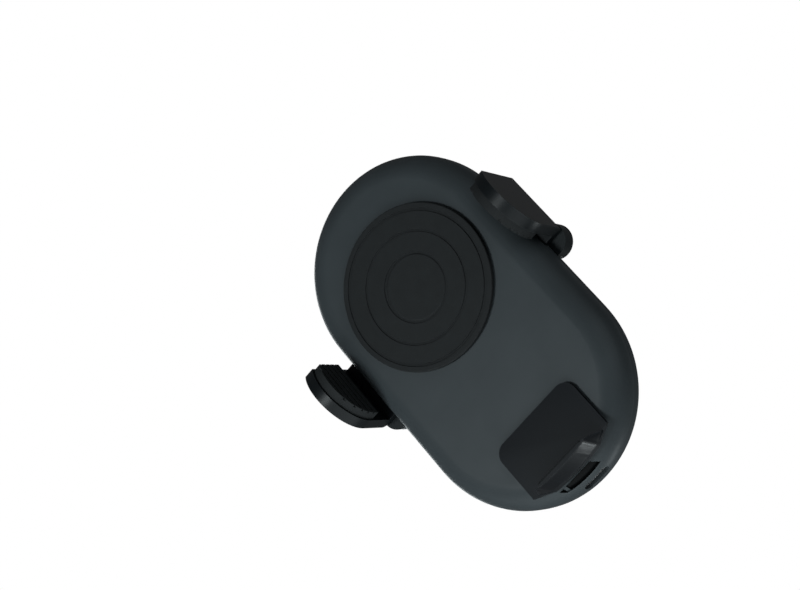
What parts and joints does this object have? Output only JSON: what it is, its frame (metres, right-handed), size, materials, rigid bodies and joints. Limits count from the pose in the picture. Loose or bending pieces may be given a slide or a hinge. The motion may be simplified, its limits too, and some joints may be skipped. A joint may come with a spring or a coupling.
{
  "type": "wireless car charger mount",
  "caption": "Pill-shaped wireless charging head with two sliding jaws and a foot that hold a phone, on a ball joint with a collar nut and an air vent clip.",
  "frame": {"origin": "middle of the vent clip's grip, between the prong pads", "axes": "+X towards the phone's right edge, +Y into the air vent, +Z towards the phone's top"},
  "size_m": [0.0824, 0.0873, 0.1193],
  "materials": {
    "shell_plastic": "fine matte texture, dark charcoal",
    "rear_plastic": "fine matte texture, dark charcoal",
    "jaw_plastic": "satin",
    "pad_rubber": "soft matte",
    "smoked_window": "gloss",
    "inner_plastic": "as moulded",
    "gear_plastic": "natural acetal",
    "copper_wire": "enamelled stranded wire",
    "ferrite": "fired ferrite, dark grey, matte",
    "board": "solder mask",
    "socket_steel": "nickel plated",
    "screw_steel": "zinc plated",
    "spring_steel": "drawn wire"
  },
  "bodies": {
    "clip": {"clip_body": "rear_plastic", "lower_prong_pads": "pad_rubber", "clip_pin": "socket_steel", "clip_spring": "spring_steel", "ball_stud": "inner_plastic"},
    "lever": {"clip_lever": "rear_plastic", "upper_prong_pads": "pad_rubber"},
    "liner": {"socket_liner": "inner_plastic"},
    "nut": {"collar_nut": "jaw_plastic"},
    "head": {"rear_cover": "rear_plastic", "front_cover": "shell_plastic", "charging_pad": "pad_rubber", "coil_carrier": "inner_plastic", "ferrite_sheet": "ferrite", "charging_coil": "copper_wire", "circuit_board": "board", "usb_socket": "socket_steel", "light_window": "smoked_window", "cover_screws": "screw_steel", "axle_screw": "screw_steel", "opening_spring": "spring_steel", "right_button_spring": "spring_steel", "left_button_spring": "spring_steel"},
    "pinion": {"pinion_gear": "gear_plastic"},
    "right_jaw": {"right_arm": "jaw_plastic", "right_jaw_pad": "pad_rubber"},
    "left_jaw": {"left_arm": "jaw_plastic", "left_jaw_pad": "pad_rubber"},
    "right_release": {"right_button": "shell_plastic"},
    "left_release": {"left_button": "shell_plastic"},
    "latch": {"latch_bar": "gear_plastic"},
    "foot": {"foot_bracket": "jaw_plastic", "foot_pad": "pad_rubber", "foot_slide": "inner_plastic", "foot_screws": "screw_steel"}
  },
  "joints": [
    {"name": "lever_open", "type": "hinge", "parent": "clip", "child": "lever", "pos_m": [0, -0.0145, 0.0066], "axis": [1, 0, 0], "range_deg": [0, 15], "stiffness_Nm_per_rad": 0.4, "springref_deg": -14.32, "deforming": ["clip_spring"]},
    {"name": "ball_tilt", "type": "hinge", "parent": "clip", "child": "liner", "pos_m": [0, -0.034, 0], "axis": [1, 0, 0], "range_deg": [-18, 18]},
    {"name": "ball_pan", "type": "hinge", "parent": "liner", "child": "nut", "pos_m": [0, -0.034, 0], "axis": [0, 0, 1], "range_deg": [-18, 18]},
    {"name": "ball_roll", "type": "hinge", "parent": "nut", "child": "head", "pos_m": [0, -0.034, 0], "axis": [0, -1, 0], "range_deg": [-90, 90]},
    {"name": "right_jaw_slide", "type": "slide", "parent": "head", "child": "right_jaw", "axis": [1, 0, 0], "range_m": [-0.002, 0.009]},
    {"name": "left_jaw_slide", "type": "slide", "parent": "head", "child": "left_jaw", "axis": [-1, 0, 0], "range_m": [-0.002, 0.009]},
    {"name": "pinion_turn", "type": "hinge", "parent": "head", "child": "pinion", "pos_m": [0, -0.055, -0.00705], "axis": [0, -1, 0], "range_deg": [-17, 74.5]},
    {"name": "right_button_push", "type": "slide", "parent": "head", "child": "right_release", "axis": [-1, 0, 0], "range_m": [0, 0.002], "stiffness_N_per_m": 200, "springref_m": -0.002, "deforming": ["right_button_spring"]},
    {"name": "left_button_push", "type": "slide", "parent": "head", "child": "left_release", "axis": [1, 0, 0], "range_m": [0, 0.002], "stiffness_N_per_m": 200, "springref_m": -0.002, "deforming": ["left_button_spring"]},
    {"name": "latch_pull", "type": "slide", "parent": "head", "child": "latch", "axis": [0, 0, -1], "range_m": [0, 0.0015]},
    {"name": "foot_slide", "type": "slide", "parent": "head", "child": "foot", "axis": [0, 0, 1], "range_m": [0, 0.01]}
  ],
  "couplings": [
    {"joint": "left_jaw_slide", "follows": "right_jaw_slide", "ratio": 1},
    {"joint": "pinion_turn", "follows": "right_jaw_slide", "rad_per_m": 142.86},
    {"joint": "left_button_push", "follows": "right_button_push", "ratio": 1},
    {"joint": "latch_pull", "follows": "right_button_push", "ratio": 0.75}
  ]
}
